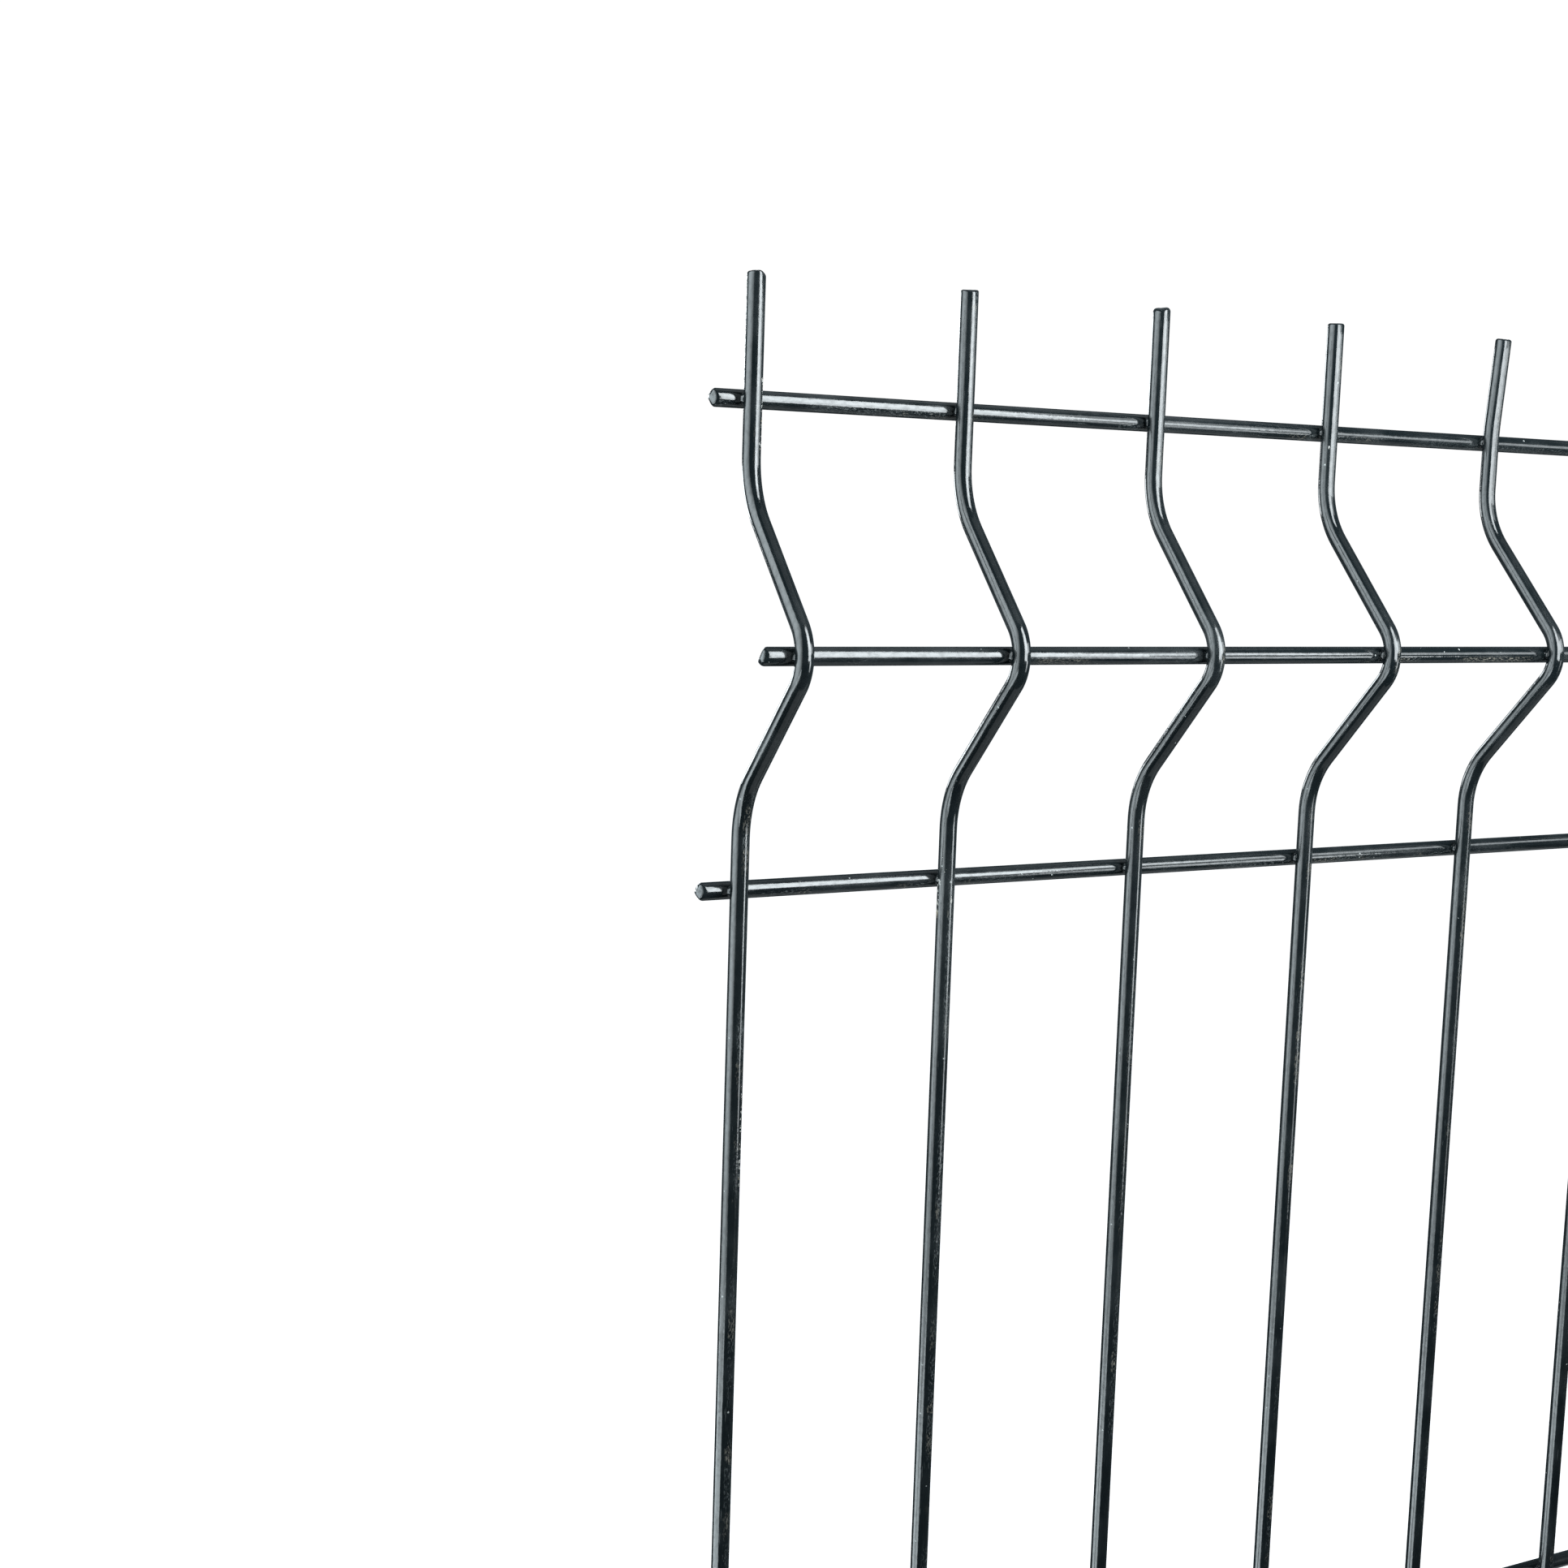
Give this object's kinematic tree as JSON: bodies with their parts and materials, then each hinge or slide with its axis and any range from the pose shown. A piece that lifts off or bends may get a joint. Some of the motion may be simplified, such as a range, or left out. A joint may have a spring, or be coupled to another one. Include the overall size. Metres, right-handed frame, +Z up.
{
  "type": "welded mesh fence panel",
  "caption": "Welded wire fence panel with V folds near its head and foot, straight line wires behind upright wires, and free spikes along the top.",
  "frame": {"origin": "centre of the cut foot of the middle upright wire", "axes": "+X along the fence, +Y to the back, where the line wires lie, +Z up; the folds point to -Y"},
  "size_m": [2.016, 0.0326, 1.03],
  "materials": {
    "upright_coat": "anthracite powder coat, glossy",
    "line_coat": "anthracite powder coat, glossy, lightly scratched"
  },
  "bodies": {
    "root": {"upright_wire_01": "upright_coat", "upright_wire_02": "upright_coat", "upright_wire_03": "upright_coat", "upright_wire_04": "upright_coat", "upright_wire_05": "upright_coat", "upright_wire_06": "upright_coat", "upright_wire_07": "upright_coat", "upright_wire_08": "upright_coat", "upright_wire_09": "upright_coat", "upright_wire_10": "upright_coat", "upright_wire_11": "upright_coat", "upright_wire_12": "upright_coat", "upright_wire_13": "upright_coat", "upright_wire_14": "upright_coat", "upright_wire_15": "upright_coat", "upright_wire_16": "upright_coat", "upright_wire_17": "upright_coat", "upright_wire_18": "upright_coat", "upright_wire_19": "upright_coat", "upright_wire_20": "upright_coat", "upright_wire_21": "upright_coat", "upright_wire_22": "upright_coat", "upright_wire_23": "upright_coat", "upright_wire_24": "upright_coat", "upright_wire_25": "upright_coat", "upright_wire_26": "upright_coat", "upright_wire_27": "upright_coat", "upright_wire_28": "upright_coat", "upright_wire_29": "upright_coat", "upright_wire_30": "upright_coat", "upright_wire_31": "upright_coat", "upright_wire_32": "upright_coat", "upright_wire_33": "upright_coat", "upright_wire_34": "upright_coat", "upright_wire_35": "upright_coat", "upright_wire_36": "upright_coat", "upright_wire_37": "upright_coat", "upright_wire_38": "upright_coat", "upright_wire_39": "upright_coat", "upright_wire_40": "upright_coat", "upright_wire_41": "upright_coat", "bottom_edge_wire": "line_coat", "bottom_crest_wire": "line_coat", "bottom_fold_head_wire": "line_coat", "field_wire_1": "line_coat", "field_wire_2": "line_coat", "field_wire_3": "line_coat", "top_fold_foot_wire": "line_coat", "top_crest_wire": "line_coat", "top_edge_wire": "line_coat"}
  },
  "joints": []
}
